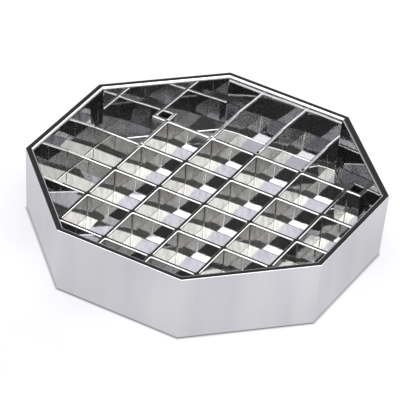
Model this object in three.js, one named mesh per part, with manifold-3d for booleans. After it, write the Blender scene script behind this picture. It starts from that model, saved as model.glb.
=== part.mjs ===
// Octagonal drip tray with a lift-out grate, standing on its flat underside.
// Millimetres, +Z up. The origin is the centre of the underside, and flats of the octagon face +X and +Y.
import * as THREE from 'three';
import { mergeVertices } from 'three/addons/utils/BufferGeometryUtils.js';
import Module from 'manifold-3d';

const wasm = await Module();
wasm.setup();

// ---- Driving dimensions ----

const SIDES = 8;
const TRAY_HEIGHT = 33;
const RIM_ACROSS_FLATS = 152.4;
const BASE_ACROSS_FLATS = 149.6;
const RIM_WIDTH = 3.4; // outer edge of the rim to the inner wall
const RIM_OUTER_RADIUS = 0.3;
const RIM_INNER_RADIUS = 1.2;
const BASE_EDGE_RADIUS = 1;
const FLOOR_THICKNESS = 4.3;
const FLOOR_FILLET = 0.6;
const INNER_DRAFT = 0.04; // how far the inner wall leans out for each millimetre of height

const SLATS_EACH_WAY = 5;
const SLAT_PITCH = 23.75;
const SLAT_TOP_THICKNESS = 2;
const SLAT_BOTTOM_THICKNESS = 3.2;
const SLAT_EDGE_RADIUS = 0.6;
const GRATE_TOP = 15.3; // height of the top of the slats
const FIT_GAP = 0.3; // clearance at the laps, and of the slats over the floor
const WALL_GAP = 0.4; // clearance of the slat ends at the inner wall

const ARC_STEPS = 5;

// ---- Worked out from them ----

const rimApothem = RIM_ACROSS_FLATS / 2;
const baseApothem = BASE_ACROSS_FLATS / 2;
const innerRimApothem = rimApothem - RIM_WIDTH;
const grateBottom = FLOOR_THICKNESS + FIT_GAP;
const lapHeight = (GRATE_TOP + grateBottom) / 2;
const cutMargin = 1; // how far a cutting solid runs past what it cuts

/** Distance from the axis to the flat inner wall at a height. */
function innerApothem(height) {
  return innerRimApothem - INNER_DRAFT * (TRAY_HEIGHT - height);
}

// ---- Materials ----

const trayChrome = new THREE.MeshStandardMaterial({ color: 0xd9dadd, roughness: 0.07, metalness: 1 });
const grateChrome = new THREE.MeshStandardMaterial({ color: 0xe0e0e2, roughness: 0.1, metalness: 1 });

// ---- Helpers ----

/** Points of a rounded corner about a centre, from one angle to the other, in radians. */
function cornerArc(centreX, centreY, radius, fromAngle, toAngle) {
  const points = [];
  for (let step = 0; step <= ARC_STEPS; step += 1) {
    const angle = fromAngle + ((toAngle - fromAngle) * step) / ARC_STEPS;
    points.push(new THREE.Vector2(centreX + radius * Math.cos(angle), centreY + radius * Math.sin(angle)));
  }
  return points;
}

/** An octagonal solid whose section through the middle of each flat is a profile of (apothem, height) points. */
function octagonalGeometry(profile) {
  const cornerStretch = 1 / Math.cos(Math.PI / SIDES);
  const cornerProfile = profile.map((point) => new THREE.Vector2(point.x * cornerStretch, point.y));
  const geometry = new THREE.LatheGeometry(cornerProfile, SIDES, Math.PI / SIDES);
  geometry.rotateX(Math.PI / 2);
  return geometry;
}

/** A closed three.js geometry as a manifold solid. */
function toSolid(geometry) {
  const bare = geometry.clone();
  bare.deleteAttribute('normal');
  bare.deleteAttribute('uv');
  const merged = mergeVertices(bare, 1e-4);
  return new wasm.Manifold(
    new wasm.Mesh({
      numProp: 3,
      vertProperties: Float32Array.from(merged.getAttribute('position').array),
      triVerts: Uint32Array.from(merged.getIndex().array),
    }),
  );
}

/** A manifold solid as a three.js geometry. */
function toGeometry(solid) {
  const { vertProperties, triVerts } = solid.getMesh();
  const geometry = new THREE.BufferGeometry();
  geometry.setAttribute('position', new THREE.BufferAttribute(vertProperties, 3));
  geometry.setIndex(new THREE.BufferAttribute(triVerts, 1));
  geometry.computeVertexNormals();
  return geometry;
}

// ---- The tray: one moulding with a rounded rim, drafted walls and a flat floor ----

function makeTrayGeometry() {
  const quarter = Math.PI / 2;
  const filletHeight = FLOOR_THICKNESS + FLOOR_FILLET;
  const profile = [
    new THREE.Vector2(0, 0),
    ...cornerArc(baseApothem - BASE_EDGE_RADIUS, BASE_EDGE_RADIUS, BASE_EDGE_RADIUS, -quarter, 0),
    ...cornerArc(rimApothem - RIM_OUTER_RADIUS, TRAY_HEIGHT - RIM_OUTER_RADIUS, RIM_OUTER_RADIUS, 0, quarter),
    ...cornerArc(
      innerRimApothem + RIM_INNER_RADIUS,
      TRAY_HEIGHT - RIM_INNER_RADIUS,
      RIM_INNER_RADIUS,
      quarter,
      2 * quarter,
    ),
    ...cornerArc(innerApothem(filletHeight) - FLOOR_FILLET, filletHeight, FLOOR_FILLET, 0, -quarter),
    new THREE.Vector2(0, FLOOR_THICKNESS),
  ];
  return octagonalGeometry(profile);
}

// ---- The grate: ten slats, half-lapped where they cross, resting on the floor of the tray ----

/** Places of the slats across the grate, from one side to the other. */
function slatOffsets() {
  const middle = (SLATS_EACH_WAY - 1) / 2;
  return Array.from({ length: SLATS_EACH_WAY }, (_, index) => (index - middle) * SLAT_PITCH);
}

/** Section of a slat, (across, height): wider at the bottom, with rounded top edges. */
function slatSection() {
  const quarter = Math.PI / 2;
  const halfBottom = SLAT_BOTTOM_THICKNESS / 2;
  const arcX = SLAT_TOP_THICKNESS / 2 - SLAT_EDGE_RADIUS;
  const arcY = GRATE_TOP - SLAT_EDGE_RADIUS;
  return new THREE.Shape([
    new THREE.Vector2(-halfBottom, grateBottom),
    new THREE.Vector2(halfBottom, grateBottom),
    ...cornerArc(arcX, arcY, SLAT_EDGE_RADIUS, 0, quarter),
    ...cornerArc(-arcX, arcY, SLAT_EDGE_RADIUS, quarter, 2 * quarter),
  ]);
}

/** Section of the notch that a crossing slat needs, open at the top or at the bottom. */
function notchSection(opensUp) {
  const closedEnd = lapHeight + (opensUp ? -FIT_GAP / 2 : FIT_GAP / 2);
  const openEnd = opensUp ? GRATE_TOP + cutMargin : grateBottom - cutMargin;
  const low = Math.min(closedEnd, openEnd);
  const high = Math.max(closedEnd, openEnd);
  const lean = (SLAT_BOTTOM_THICKNESS - SLAT_TOP_THICKNESS) / 2 / (GRATE_TOP - grateBottom);
  const halfWidth = (height) => SLAT_TOP_THICKNESS / 2 + lean * (GRATE_TOP - height) + FIT_GAP;
  return new THREE.Shape([
    new THREE.Vector2(-halfWidth(low), low),
    new THREE.Vector2(halfWidth(low), low),
    new THREE.Vector2(halfWidth(high), high),
    new THREE.Vector2(-halfWidth(high), high),
  ]);
}

/** A section drawn as (across, height), run along Y from one side of the middle to the other. */
function barSolid(section, halfLength) {
  const geometry = new THREE.ExtrudeGeometry(section, { depth: 2 * halfLength, bevelEnabled: false });
  geometry.translate(0, 0, -halfLength);
  geometry.rotateX(Math.PI / 2);
  return toSolid(geometry);
}

/** What the slat ends are cut to: the inside of the tray, less a clearance. */
function makeTrimmingSolid() {
  const bottom = grateBottom - cutMargin;
  const top = GRATE_TOP + cutMargin;
  return toSolid(
    octagonalGeometry([
      new THREE.Vector2(0, bottom),
      new THREE.Vector2(innerApothem(bottom) - WALL_GAP, bottom),
      new THREE.Vector2(innerApothem(top) - WALL_GAP, top),
      new THREE.Vector2(0, top),
    ]),
  );
}

/** A slat lying along Y over the middle, with its ends cut as they are at its own offset. */
function makeSlatGeometry(offset, notchesOpenUp, trimmingSolid) {
  const bar = barSolid(slatSection(), rimApothem);
  let slat = bar.translate([offset, 0, 0]).intersect(trimmingSolid).translate([-offset, 0, 0]);
  const notch = barSolid(notchSection(notchesOpenUp), SLAT_BOTTOM_THICKNESS).rotate([0, 0, 90]);
  for (const place of slatOffsets()) {
    slat = slat.subtract(notch.translate([0, place, 0]));
  }
  return toGeometry(slat);
}

// ---- Assembly ----

const dripTray = new THREE.Group();

const trayBody = new THREE.Mesh(makeTrayGeometry(), trayChrome);
trayBody.name = 'tray_body';
dripTray.add(trayBody);

const grate = new THREE.Group();
dripTray.add(grate);

const trimmingSolid = makeTrimmingSolid();

slatOffsets().forEach((offset, index) => {
  const longSlat = new THREE.Mesh(makeSlatGeometry(offset, false, trimmingSolid), grateChrome);
  longSlat.name = `long_slat_${index + 1}`;
  longSlat.position.x = offset;
  grate.add(longSlat);

  const crossSlat = new THREE.Mesh(makeSlatGeometry(offset, true, trimmingSolid), grateChrome);
  crossSlat.name = `cross_slat_${index + 1}`;
  crossSlat.position.y = offset;
  crossSlat.rotation.z = Math.PI / 2;
  grate.add(crossSlat);
});

export default dripTray;
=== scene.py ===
"""Looks of an octagonal chrome drip tray with a lift-out grate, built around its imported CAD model."""

from math import atan2, cos, pi, radians, sin, sqrt, tan

import bmesh
import bpy
from mathutils import Matrix, Vector
from mathutils.geometry import tessellate_polygon


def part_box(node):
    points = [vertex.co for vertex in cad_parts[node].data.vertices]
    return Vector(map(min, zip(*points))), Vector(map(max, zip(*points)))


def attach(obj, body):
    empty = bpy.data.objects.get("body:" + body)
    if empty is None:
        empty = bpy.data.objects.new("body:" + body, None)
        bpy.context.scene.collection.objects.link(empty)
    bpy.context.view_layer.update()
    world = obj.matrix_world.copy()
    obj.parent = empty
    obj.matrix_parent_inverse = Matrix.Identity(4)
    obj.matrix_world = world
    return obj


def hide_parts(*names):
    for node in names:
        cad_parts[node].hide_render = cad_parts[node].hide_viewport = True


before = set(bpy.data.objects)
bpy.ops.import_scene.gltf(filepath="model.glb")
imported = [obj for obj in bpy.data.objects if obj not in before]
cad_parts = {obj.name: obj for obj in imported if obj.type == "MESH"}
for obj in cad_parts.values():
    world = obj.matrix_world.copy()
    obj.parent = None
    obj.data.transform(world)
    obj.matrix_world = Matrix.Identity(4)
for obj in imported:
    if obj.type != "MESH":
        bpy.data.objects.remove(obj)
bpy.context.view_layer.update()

MM = 0.001
SIDES = 8
HALF_SIDE = pi / SIDES  # angle between the middle of a side and its corner, seen from the axis
EIGHTH = pi / 4
QUARTER = pi / 2

# ---- Sizes read from the frame ----

tray_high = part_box("tray_body")[1]
RIM_APOTHEM = tray_high.x
TRAY_HEIGHT = tray_high.z

SLATS_EACH_WAY = sum(1 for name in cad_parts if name.startswith("long_slat_"))
slat_boxes = [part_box(f"long_slat_{number + 1}") for number in range(SLATS_EACH_WAY)]
SLAT_PLACES = [(low.x + high.x) / 2 for low, high in slat_boxes]
slat_low, slat_high = slat_boxes[0]
SLAT_BOTTOM_THICKNESS = slat_high.x - slat_low.x
GRATE_TOP = slat_high.z

# ---- Sizes that the frame's boxes don't give ----

BASE_INSET = 1.4 * MM
BASE_APOTHEM = RIM_APOTHEM - BASE_INSET
RIM_WIDTH = 3.4 * MM
RIM_OUTER_RADIUS = 0.3 * MM
RIM_INNER_RADIUS = 1.2 * MM
BASE_EDGE_RADIUS = 1.0 * MM
FLOOR_HEIGHT = 4.3 * MM
FLOOR_FILLET = 0.6 * MM
INNER_DRAFT = 0.04
OUTER_CORNER_RADIUS = 0.8 * MM
INNER_CORNER_RADIUS = 0.7 * MM

SLAT_TOP_THICKNESS = 2.0 * MM
SLAT_EDGE_RADIUS = 0.6 * MM
SLAT_BOTTOM_CHAMFER = 0.15 * MM
CELL_CORNER_RADIUS = 0.5 * MM
STUB_CORNER_RADIUS = 0.15 * MM
GRATE_FLOOR_GAP = 0.05 * MM
GRATE_WALL_GAP = 0.03 * MM

EDGE_STEPS = 8
CORNER_STEPS = 5


def inner_apothem(height):
    """Distance from the axis to the flat inner wall at a height."""
    return RIM_APOTHEM - RIM_WIDTH - INNER_DRAFT * (TRAY_HEIGHT - height)


# ---- Meshes ----

INNER_WALL = "inner_wall"  # the vertex layer that is 1 on the tray's inner walls and 0 elsewhere
LARGE_FACES_LEAD = 100  # weight of large faces in the smooth shading, where 50 is neutral


def arc(centre_x, centre_z, radius, start, end):
    """Points of a rounded edge in a profile, from one angle to another."""
    angles = [start + (end - start) * step / EDGE_STEPS for step in range(EDGE_STEPS + 1)]
    return [(centre_x + radius * cos(angle), centre_z + radius * sin(angle)) for angle in angles]


def bridge(bm, lower_ring, upper_ring):
    """Faces between two closed rings of the same number of vertices."""
    count = len(lower_ring)
    for index in range(count):
        following = (index + 1) % count
        bm.faces.new((lower_ring[index], lower_ring[following], upper_ring[following], upper_ring[index]))


def finish_piece(bm, name, material, body, nodes):
    """Turns a bmesh into a smooth-shaded piece whose flats stay flat, riding on a CAD body."""
    bmesh.ops.recalc_face_normals(bm, faces=bm.faces)
    mesh = bpy.data.meshes.new(name)
    bm.to_mesh(mesh)
    bm.free()
    mesh.polygons.foreach_set("use_smooth", [True] * len(mesh.polygons))
    piece = bpy.data.objects.new(name, mesh)
    bpy.context.scene.collection.objects.link(piece)
    weighted = piece.modifiers.new("flat_faces_stay_flat", "WEIGHTED_NORMAL")
    weighted.mode = "FACE_AREA"
    weighted.weight = LARGE_FACES_LEAD
    mesh.materials.append(material)
    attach(piece, body)
    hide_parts(*nodes)


# ---- The tray: octagonal rings up the outside and down the inside ----


def octagon_ring(bm, apothem, corner_radius, height):
    """One ring of vertices round the tray: an octagon with rounded corners."""
    ring = []
    for side in range(SIDES):
        direction = HALF_SIDE + side * 2 * HALF_SIDE
        centre = (apothem - corner_radius) / cos(HALF_SIDE)
        for step in range(CORNER_STEPS + 1):
            angle = direction - HALF_SIDE + 2 * HALF_SIDE * step / CORNER_STEPS
            x = centre * cos(direction) + corner_radius * cos(angle)
            y = centre * sin(direction) + corner_radius * sin(angle)
            ring.append(bm.verts.new((x, y, height)))
    return ring


def tray_profile():
    """(apothem, height, corner radius) from the underside, up the outer wall and down inside to the floor."""
    rim_edge = RIM_APOTHEM - RIM_OUTER_RADIUS
    rim_edge_height = TRAY_HEIGHT - RIM_OUTER_RADIUS
    lip = RIM_APOTHEM - RIM_WIDTH + RIM_INNER_RADIUS
    lip_height = TRAY_HEIGHT - RIM_INNER_RADIUS
    fillet_height = FLOOR_HEIGHT + FLOOR_FILLET
    fillet = inner_apothem(fillet_height) - FLOOR_FILLET
    outside = arc(BASE_APOTHEM - BASE_EDGE_RADIUS, BASE_EDGE_RADIUS, BASE_EDGE_RADIUS, -QUARTER, 0)
    outside += arc(rim_edge, rim_edge_height, RIM_OUTER_RADIUS, 0, QUARTER)
    inside = arc(lip, lip_height, RIM_INNER_RADIUS, QUARTER, pi)
    inside += arc(fillet, fillet_height, FLOOR_FILLET, 0, -QUARTER)
    profile = [(apothem, height, OUTER_CORNER_RADIUS) for apothem, height in outside]
    profile += [(apothem, height, INNER_CORNER_RADIUS) for apothem, height in inside]
    return profile


def build_tray(material):
    """The tray, whose inner walls lie between the last ring of the profile's third arc and the next ring."""
    bm = bmesh.new()
    inner_wall = bm.verts.layers.float.new(INNER_WALL)
    rings = [octagon_ring(bm, apothem, radius, height) for apothem, height, radius in tray_profile()]
    for lower, upper in zip(rings, rings[1:]):
        bridge(bm, lower, upper)
    bm.faces.new(rings[0])
    bm.faces.new(rings[-1])
    wall_top = 3 * (EDGE_STEPS + 1) - 1
    for ring in rings[wall_top:wall_top + 2]:
        for vertex in ring:
            vertex[inner_wall] = 1.0
    finish_piece(bm, "tray", material, "tray", ["tray_body"])


# ---- The grate: a lattice whose outlines are straight lines, each (normal angle, distance, is an end) ----


def grate_outline():
    """Lines round the comb-shaped outside of the lattice, with the material on their left."""
    half = SLAT_TOP_THICKNESS / 2
    reach = inner_apothem(GRATE_TOP) - GRATE_WALL_GAP
    one_side = []
    for number, place in enumerate(SLAT_PLACES):
        end_angle = 0.0
        if abs(place) > reach * tan(HALF_SIDE):
            end_angle = EIGHTH if place > 0 else -EIGHTH
        one_side.append((-QUARTER, half - place, False))
        one_side.append((end_angle, reach, True))
        one_side.append((QUARTER, half + place, False))
        if number < SLATS_EACH_WAY - 1:
            one_side.append((0.0, SLAT_PLACES[-1] + half, False))
    outline = []
    for turn in range(4):
        outline += [(angle + turn * QUARTER, distance, is_end) for angle, distance, is_end in one_side]
    return outline


def cell_outline(left, right, front, back):
    """Lines round one open cell between four slats, with the material on their left."""
    half = SLAT_TOP_THICKNESS / 2
    return [
        (0.0, left + half, False),
        (-QUARTER, half - back, False),
        (pi, half - right, False),
        (QUARTER, front + half, False),
    ]


def crossing(first, second):
    """The point where two (normal angle, distance) lines meet."""
    determinant = sin(second[0] - first[0])
    x = (first[1] * sin(second[0]) - second[1] * sin(first[0])) / determinant
    y = (second[1] * cos(first[0]) - first[1] * cos(second[0])) / determinant
    return Vector((x, y))


def lattice_ring(bm, outline, inset, end_inset, height):
    """One ring of vertices along an outline that has moved into the material, with rounded corners."""
    moved = [(angle, distance - (end_inset if is_end else inset)) for angle, distance, is_end in outline]
    ring = []
    for index, line in enumerate(moved):
        following = moved[(index + 1) % len(moved)]
        corner = crossing(line, following)
        turn = atan2(sin(following[0] - line[0]), cos(following[0] - line[0]))
        side = 1 if turn > 0 else -1
        radius = STUB_CORNER_RADIUS if turn > 0 else CELL_CORNER_RADIUS + max(inset, 0.0)
        inward = Vector((-cos(line[0]), -sin(line[0]))) * side
        along = Vector((-sin(line[0]), cos(line[0])))
        centre = corner - along * radius * tan(abs(turn) / 2) + inward * radius
        for step in range(CORNER_STEPS + 1):
            angle = line[0] + turn * step / CORNER_STEPS
            offset = Vector((cos(angle), sin(angle))) * radius * side
            ring.append(bm.verts.new((centre.x + offset.x, centre.y + offset.y, height)))
    return ring


def slat_profile():
    """(inset, end inset, height) from the flat top of the lattice to its underside."""
    bottom = FLOOR_HEIGHT + GRATE_FLOOR_GAP
    widening = (SLAT_BOTTOM_THICKNESS - SLAT_TOP_THICKNESS) / 2
    lean = atan2(widening, GRATE_TOP - bottom)
    arc_inset = SLAT_EDGE_RADIUS * (1 / cos(lean) - tan(lean))
    arc_height = GRATE_TOP - SLAT_EDGE_RADIUS
    levels = []
    for step in range(EDGE_STEPS + 1):
        angle = (QUARTER - lean) * step / EDGE_STEPS
        inset = arc_inset - SLAT_EDGE_RADIUS * sin(angle)
        levels.append((inset, arc_height + SLAT_EDGE_RADIUS * cos(angle)))
    levels.append((-widening, bottom + SLAT_BOTTOM_CHAMFER))
    levels.append((-widening + SLAT_BOTTOM_CHAMFER, bottom))
    return [(inset, INNER_DRAFT * (GRATE_TOP - height), height) for inset, height in levels]


def cap(bm, rings):
    """Fills the flat face bounded by an outline and the cells inside it."""
    vertices = [vertex for ring in rings for vertex in ring]
    for corners in tessellate_polygon([[vertex.co for vertex in ring] for ring in rings]):
        bm.faces.new([vertices[corner] for corner in corners])


def build_grate(material):
    """The grate: one lattice with rounded crossings, which stands for all the lapped slats."""
    bm = bmesh.new()
    spans = list(zip(SLAT_PLACES, SLAT_PLACES[1:]))
    outlines = [grate_outline()]
    outlines += [cell_outline(left, right, front, back) for left, right in spans for front, back in spans]
    levels = slat_profile()
    rings_by_outline = []
    for outline in outlines:
        rings = [lattice_ring(bm, outline, inset, end_inset, height) for inset, end_inset, height in levels]
        for upper, lower in zip(rings, rings[1:]):
            bridge(bm, lower, upper)
        rings_by_outline.append(rings)
    cap(bm, [rings[0] for rings in rings_by_outline])
    cap(bm, [rings[-1] for rings in rings_by_outline])
    nodes = [f"{way}_slat_{number + 1}" for way in ("long", "cross") for number in range(SLATS_EACH_WAY)]
    finish_piece(bm, "grate", material, "grate", nodes)


# ---- Node trees ----


class Tree:
    """Adds nodes to the node tree of a material or world, each fed by outputs or by constants."""

    def __init__(self, owner):
        owner.use_nodes = True
        self.nodes = owner.node_tree.nodes
        self.links = owner.node_tree.links

    def feed(self, socket, value):
        """Links an output to a socket, or sets the socket to a constant."""
        if isinstance(value, bpy.types.NodeSocket):
            self.links.new(value, socket)
        else:
            socket.default_value = value

    def place(self, space):
        """Coordinates of the point being shaded, or of the direction being looked at."""
        return self.nodes.new("ShaderNodeTexCoord").outputs[space]

    def maths(self, operation, *values):
        """A math node over outputs and constants."""
        node = self.nodes.new("ShaderNodeMath")
        node.operation = operation
        for socket, value in zip(node.inputs, values):
            self.feed(socket, value)
        return node.outputs[0]

    def map_range(self, value, start, end, low, high, interpolation="LINEAR"):
        """Turns values from start to end into values from low to high, and holds them there beyond."""
        node = self.nodes.new("ShaderNodeMapRange")
        node.interpolation_type = interpolation
        self.feed(node.inputs["Value"], value)
        node.inputs["From Min"].default_value = start
        node.inputs["From Max"].default_value = end
        node.inputs["To Min"].default_value = low
        node.inputs["To Max"].default_value = high
        return node.outputs["Result"]

    def noise(self, place, scale, detail, turn=(0.0, 0.0, 0.0)):
        """A noise texture, whose scale may differ along X, Y and Z (per metre), and which may be turned."""
        stretch = self.nodes.new("ShaderNodeMapping")
        stretch.inputs["Scale"].default_value = scale
        stretch.inputs["Rotation"].default_value = turn
        texture = self.nodes.new("ShaderNodeTexNoise")
        texture.inputs["Scale"].default_value = 1.0
        texture.inputs["Detail"].default_value = detail
        self.feed(stretch.inputs["Vector"], place)
        self.feed(texture.inputs["Vector"], stretch.outputs["Vector"])
        return texture.outputs["Fac"]

    def ramp(self, value, *stops):
        """A colour ramp through two (position, colour) stops."""
        node = self.nodes.new("ShaderNodeValToRGB")
        for element, (position, colour) in zip(node.color_ramp.elements, stops):
            element.position = position
            element.color = (*colour, 1.0)
        self.feed(node.inputs["Fac"], value)
        return node.outputs["Color"]

    def mix(self, blend, factor, first, second):
        """One colour blended with another as far as the factor says."""
        node = self.nodes.new("ShaderNodeMix")
        node.data_type = "RGBA"
        node.blend_type = blend
        colours = [socket for socket in node.inputs if socket.type == "RGBA"]
        self.feed(node.inputs["Factor"], factor)
        self.feed(colours[0], first)
        self.feed(colours[1], second)
        return next(socket for socket in node.outputs if socket.type == "RGBA")

    def bump(self, height, depth, normal):
        """A bump of a certain depth, laid over an earlier one if there is one."""
        node = self.nodes.new("ShaderNodeBump")
        node.inputs["Strength"].default_value = 1.0
        node.inputs["Distance"].default_value = depth
        self.feed(node.inputs["Height"], height)
        if normal is not None:
            self.feed(node.inputs["Normal"], normal)
        return node.outputs["Normal"]


# ---- Materials ----

METALLIC = 0.98  # a little under 1, so that the deepest reflections don't go black
GRAZING_TINT = (0.85, 0.85, 0.86)
STREAK_DETAIL = 3.0
DULLEST_STREAK = 0.35  # noise at or below this is dull, and at or above the next value bright
BRIGHTEST_STREAK = 0.62
HAZE_SCALE = (45.0, 45.0, 45.0)
HAZE_DETAIL = 5.0
LEAST_HAZE = 0.35
MOST_HAZE = 0.7

WAVE_SCALE = (60.0, 60.0, 60.0)
ORANGE_PEEL_SCALE = (320.0, 320.0, 320.0)
FLOOR_WEAR_SCALE = (450.0, 450.0, 450.0)
SCRATCH_SCALE = (5200.0, 260.0, 2600.0)
SCRATCH_TURN = (0.3, 0.2, 0.9)
LITTLE_DETAIL = 1.0
MORE_DETAIL = 2.0
ORANGE_PEEL = 0.0012 * MM
FLOOR_WEAR = 0.015 * MM
SCRATCH_DEPTH = 0.0001 * MM

# painted shade: the tone of the tray's inner walls is multiplied darker, as shade in the tray's hollow
INNER_WALL_PAINTED_SHADE = (0.7, 0.7, 0.69)
INNER_WALL_WAVINESS = 2.0


def chrome(name, dull, bright, streak_scale, smoothest, roughest, waviness):
    """Mirror plating: a streaky tone, uneven haze, waves, orange peel and faint scratches.

    The tray's inner walls have a darker tone of painted shade and are wavier than the rest, and its floor is
    worn.
    """
    material = bpy.data.materials.new(name)
    tree = Tree(material)
    shader = tree.nodes["Principled BSDF"]
    shader.inputs["Metallic"].default_value = METALLIC
    shader.inputs["Specular Tint"].default_value = (*GRAZING_TINT, 1.0)
    place = tree.place("Object")
    wall_layer = tree.nodes.new("ShaderNodeAttribute")
    wall_layer.attribute_name = INNER_WALL
    on_inner_wall = wall_layer.outputs["Fac"]

    streaks = tree.noise(place, streak_scale, STREAK_DETAIL)
    tone = tree.ramp(streaks, (DULLEST_STREAK, dull), (BRIGHTEST_STREAK, bright))
    # painted shade on the tray's inner walls
    tone_with_painted_shade = tree.mix("MULTIPLY", on_inner_wall, tone, (*INNER_WALL_PAINTED_SHADE, 1.0))
    tree.feed(shader.inputs["Base Color"], tone_with_painted_shade)

    haze = tree.noise(place, HAZE_SCALE, HAZE_DETAIL)
    roughness = tree.map_range(haze, LEAST_HAZE, MOST_HAZE, smoothest, roughest)
    tree.feed(shader.inputs["Roughness"], roughness)

    waves = tree.noise(place, WAVE_SCALE, LITTLE_DETAIL)
    growth = tree.maths("MULTIPLY_ADD", on_inner_wall, INNER_WALL_WAVINESS - 1.0, 1.0)
    swell = tree.maths("MULTIPLY", waves, growth)
    orange_peel = tree.noise(place, ORANGE_PEEL_SCALE, LITTLE_DETAIL)
    axes = tree.nodes.new("ShaderNodeSeparateXYZ")
    tree.feed(axes.inputs["Vector"], place)
    on_floor = tree.map_range(axes.outputs["Z"], FLOOR_HEIGHT + 0.5 * FLOOR_FILLET, FLOOR_HEIGHT, 0.0, 1.0)
    wear = tree.noise(place, FLOOR_WEAR_SCALE, MORE_DETAIL)
    floor_wear = tree.maths("MULTIPLY", wear, on_floor)
    scratches = tree.noise(place, SCRATCH_SCALE, MORE_DETAIL, SCRATCH_TURN)

    normal = tree.bump(swell, waviness, None)
    normal = tree.bump(orange_peel, ORANGE_PEEL, normal)
    normal = tree.bump(floor_wear, FLOOR_WEAR, normal)
    normal = tree.bump(scratches, SCRATCH_DEPTH, normal)
    tree.feed(shader.inputs["Normal"], normal)
    return material


def tray_plating():
    """The tray's plating, whose broad streaks run up the walls."""
    return chrome(
        "tray_plating",
        dull=(0.55, 0.545, 0.575),
        bright=(0.59, 0.588, 0.6),
        streak_scale=(70.0, 70.0, 9.0),
        smoothest=0.02,
        roughest=0.06,
        waviness=0.05 * MM,
    )


def grate_plating():
    """The grate's plating, with small blotches and shallower waves."""
    return chrome(
        "grate_plating",
        dull=(0.52, 0.515, 0.515),
        bright=(0.625, 0.62, 0.625),
        streak_scale=(420.0, 420.0, 160.0),
        smoothest=0.02,
        roughest=0.05,
        waviness=0.015 * MM,
    )


FLOOR_GREY = 0.15
FLOOR_ROUGHNESS = 0.9
FLOOR_GLOW = 0.74
# painted contact shadow: the floor's glow drops to this level under the tray and just past its base
PAINTED_CONTACT_SHADOW_GLOW = 0.05
CONTACT_SHADE_INSIDE = 1.0 * MM  # the shade starts to fade this far inside the base, and has gone outside it
CONTACT_SHADE_OUTSIDE = 1.2 * MM
# painted light: brighter and dimmer patches in the floor's glow, which the tray's walls reflect as soft
# streaks
PAINTED_LIGHT_PATCH_SCALE = (11.0, 11.0, 11.0)
DIM_PAINTED_LIGHT_PATCH = (0.36, (0.93, 0.915, 0.96))
LIT_PAINTED_LIGHT_PATCH = (0.62, (1.08, 1.07, 1.12))


def pale_floor():
    """A matt surface with an uneven, painted glow of light, and a painted contact shadow that darkens it
    under the tray and just past its base.
    """
    material = bpy.data.materials.new("pale_floor")
    tree = Tree(material)
    shader = tree.nodes["Principled BSDF"]
    shader.inputs["Base Color"].default_value = (FLOOR_GREY, FLOOR_GREY, FLOOR_GREY, 1.0)
    shader.inputs["Roughness"].default_value = FLOOR_ROUGHNESS
    shader.inputs["Specular IOR Level"].default_value = 0.0
    place = tree.place("Object")
    axes = tree.nodes.new("ShaderNodeSeparateXYZ")
    tree.feed(axes.inputs["Vector"], place)
    across = tree.maths("ABSOLUTE", axes.outputs["X"])
    along = tree.maths("ABSOLUTE", axes.outputs["Y"])
    to_flat = tree.maths("MAXIMUM", across, along)
    to_diagonal = tree.maths("MULTIPLY", tree.maths("ADD", across, along), sqrt(0.5))
    from_axis = tree.maths("MAXIMUM", to_flat, to_diagonal)
    # painted contact shadow: the glow is lowered round the tray's base
    shade_start = BASE_APOTHEM - CONTACT_SHADE_INSIDE
    shade_end = BASE_APOTHEM + CONTACT_SHADE_OUTSIDE
    glow_with_painted_contact_shadow = tree.map_range(from_axis, shade_start, shade_end, PAINTED_CONTACT_SHADOW_GLOW, FLOOR_GLOW, "SMOOTHSTEP")
    tree.feed(shader.inputs["Emission Strength"], glow_with_painted_contact_shadow)
    # painted light patches in the floor's glow
    painted_light_patches = tree.noise(place, PAINTED_LIGHT_PATCH_SCALE, LITTLE_DETAIL)
    tree.feed(shader.inputs["Emission Color"], tree.ramp(painted_light_patches, DIM_PAINTED_LIGHT_PATCH, LIT_PAINTED_LIGHT_PATCH))
    return material


# ---- Studio ----

FLOOR_REACH = 6.0

WHITE = (1.0, 1.0, 1.0)
WARM = (1.03, 1.04, 0.935)
COOL = (0.985, 0.975, 1.04)
LAVENDER = (0.995, 0.98, 1.06)
SURROUND = 0.25
# name, azimuth, elevation, half width (190 for all round), half height, softness, tint, strength
PANELS = (
    ("overhead", 0, 80, 190, 32, 6, WHITE, 3.6),
    ("zenith", 0, 90, 190, 10, 8, WHITE, 0.9),
    ("right of the tray", 65, 37, 4.5, 5, 6, WHITE, 3.2),
    ("right of the camera, low", 100, 34.4, 32, 3.8, 2, WHITE, 5.0),
    ("right of the camera, high", 88, 42, 22, 6, 3, WHITE, 5.0),
    ("behind and left of the camera", 183, 43.5, 17, 3.5, 2, WHITE, 3.5),
    ("behind the camera, high", 152, 49.5, 16, 11.5, 2.5, WARM, 4.9),
    ("behind the camera, low left", 142.5, 38.5, 7, 5, 2.5, WARM, 3.8),
    ("left of the camera, high", 207, 39.5, 6.5, 4.5, 2, LAVENDER, 1.95),
    ("left of the camera, low", 205, 31, 6, 4.5, 2, WHITE, 3.8),
    ("back right", 27, 38.5, 8.5, 7.5, 9, WARM, 2.7),
    ("back, high", 3, 46, 22, 6.5, 3, WHITE, 3.0),
    ("dark card at the back left", 326, 34, 26, 7.5, 3, COOL, 0.03),
    ("horizon", 0, 0, 190, 14, 8, WHITE, 1.3),
    ("dark card left of the camera", 206, 10, 16, 16, 3, COOL, 0.12),
)

CAMERA_AZIMUTH = 27.57  # degrees from -Y towards +X
CAMERA_ELEVATION = 35.64
CAMERA_ROLL = 4.62
CAMERA_DISTANCE = 10.146  # in tray widths from the middle of the rim, like the next two
CAMERA_LEFT = 0.0201
CAMERA_DOWN = 0.0828
CAMERA_LENS = 310.5
CAMERA_SENSOR = 36.0


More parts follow.
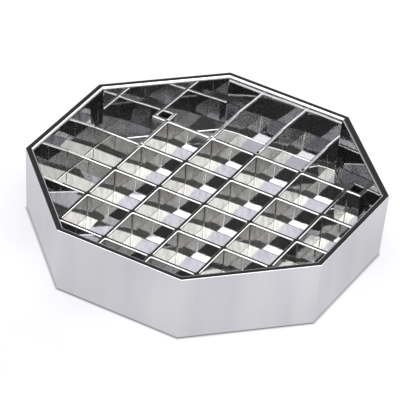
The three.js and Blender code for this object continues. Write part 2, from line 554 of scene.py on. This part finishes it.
def make_floor():
    """A plain pale surface that the tray stands on."""
    bm = bmesh.new()
    bmesh.ops.create_grid(bm, x_segments=1, y_segments=1, size=FLOOR_REACH)
    mesh = bpy.data.meshes.new("studio_floor")
    bm.to_mesh(mesh)
    bm.free()
    floor = bpy.data.objects.new("studio_floor", mesh)
    bpy.context.scene.collection.objects.link(floor)
    mesh.materials.append(pale_floor())


def compass(azimuth, elevation):
    """Unit vector, with azimuth in degrees clockwise from +Y as seen from above."""
    azimuth = radians(azimuth)
    elevation = radians(elevation)
    return Vector((sin(azimuth) * cos(elevation), cos(azimuth) * cos(elevation), sin(elevation)))


class DomeTree(Tree):
    """Builds the node tree of the studio dome: a dim surround with soft-edged panels of light and shade."""

    def __init__(self, world):
        super().__init__(world)
        self.nodes.clear()
        self.direction = self.place("Generated")
        self.elevation = self.maths("ARCSINE", self.dot(Vector((0, 0, 1))))

    def dot(self, vector):
        """How far the direction goes along a vector."""
        node = self.nodes.new("ShaderNodeVectorMath")
        node.operation = "DOT_PRODUCT"
        self.feed(node.inputs[0], self.direction)
        node.inputs[1].default_value = vector
        return node.outputs["Value"]

    def fade(self, angle, half, softness):
        """1 where an angle is within half of zero, falling smoothly to 0 outside it."""
        start = radians(half - softness / 2)
        end = radians(half + softness / 2)
        return self.map_range(self.maths("ABSOLUTE", angle), start, end, 1.0, 0.0, "SMOOTHSTEP")

    def patch(self, azimuth, elevation, half_width, half_height, softness):
        """A mask over a range of azimuths and elevations, in degrees."""
        from_middle = self.maths("ARCTAN2", self.dot(compass(azimuth + 90, 0)), self.dot(compass(azimuth, 0)))
        across = self.fade(from_middle, half_width, softness)
        upward = self.fade(self.maths("SUBTRACT", self.elevation, radians(elevation)), half_height, softness)
        return self.maths("MULTIPLY", across, upward)

    def cover(self, light, mask, tint, strength):
        """The light so far, replaced by a panel's where its mask is."""
        return self.mix("MIX", mask, light, (*(channel * strength for channel in tint), 1.0))


def make_dome():
    """Lights the scene from a world background; a panel later in the list covers those before it."""
    world = bpy.data.worlds.new("studio_dome")
    bpy.context.scene.world = world
    tree = DomeTree(world)
    light = (*(SURROUND * channel for channel in WARM), 1.0)
    for _, azimuth, elevation, half_width, half_height, softness, tint, strength in PANELS:
        mask = tree.patch(azimuth, elevation, half_width, half_height, softness)
        light = tree.cover(light, mask, tint, strength)
    background = tree.nodes.new("ShaderNodeBackground")
    output = tree.nodes.new("ShaderNodeOutputWorld")
    tree.feed(background.inputs["Color"], light)
    tree.feed(output.inputs["Surface"], background.outputs["Background"])


def make_camera():
    """The camera stands in front and to the right, far off with a long lens, and is rolled a little."""
    azimuth = radians(CAMERA_AZIMUTH)
    elevation = radians(CAMERA_ELEVATION)
    roll = radians(CAMERA_ROLL)
    width = 2 * RIM_APOTHEM
    back = Vector((sin(azimuth) * cos(elevation), -cos(azimuth) * cos(elevation), sin(elevation)))
    level = Vector((cos(azimuth), sin(azimuth), 0))
    rise = back.cross(level)
    right = cos(roll) * level + sin(roll) * rise
    up = -sin(roll) * level + cos(roll) * rise
    rim_centre = Vector((0, 0, TRAY_HEIGHT))
    place = rim_centre + width * (CAMERA_DISTANCE * back - CAMERA_LEFT * right - CAMERA_DOWN * up)
    data = bpy.data.cameras.new("camera")
    data.lens = CAMERA_LENS
    data.sensor_width = CAMERA_SENSOR
    camera = bpy.data.objects.new("camera", data)
    bpy.context.scene.collection.objects.link(camera)
    matrix = Matrix((right, up, back)).transposed().to_4x4()
    matrix.translation = place
    camera.matrix_world = matrix
    bpy.context.scene.camera = camera


make_camera()
make_dome()
make_floor()
build_tray(tray_plating())
build_grate(grate_plating())
bpy.context.scene.view_settings.view_transform = "Standard"
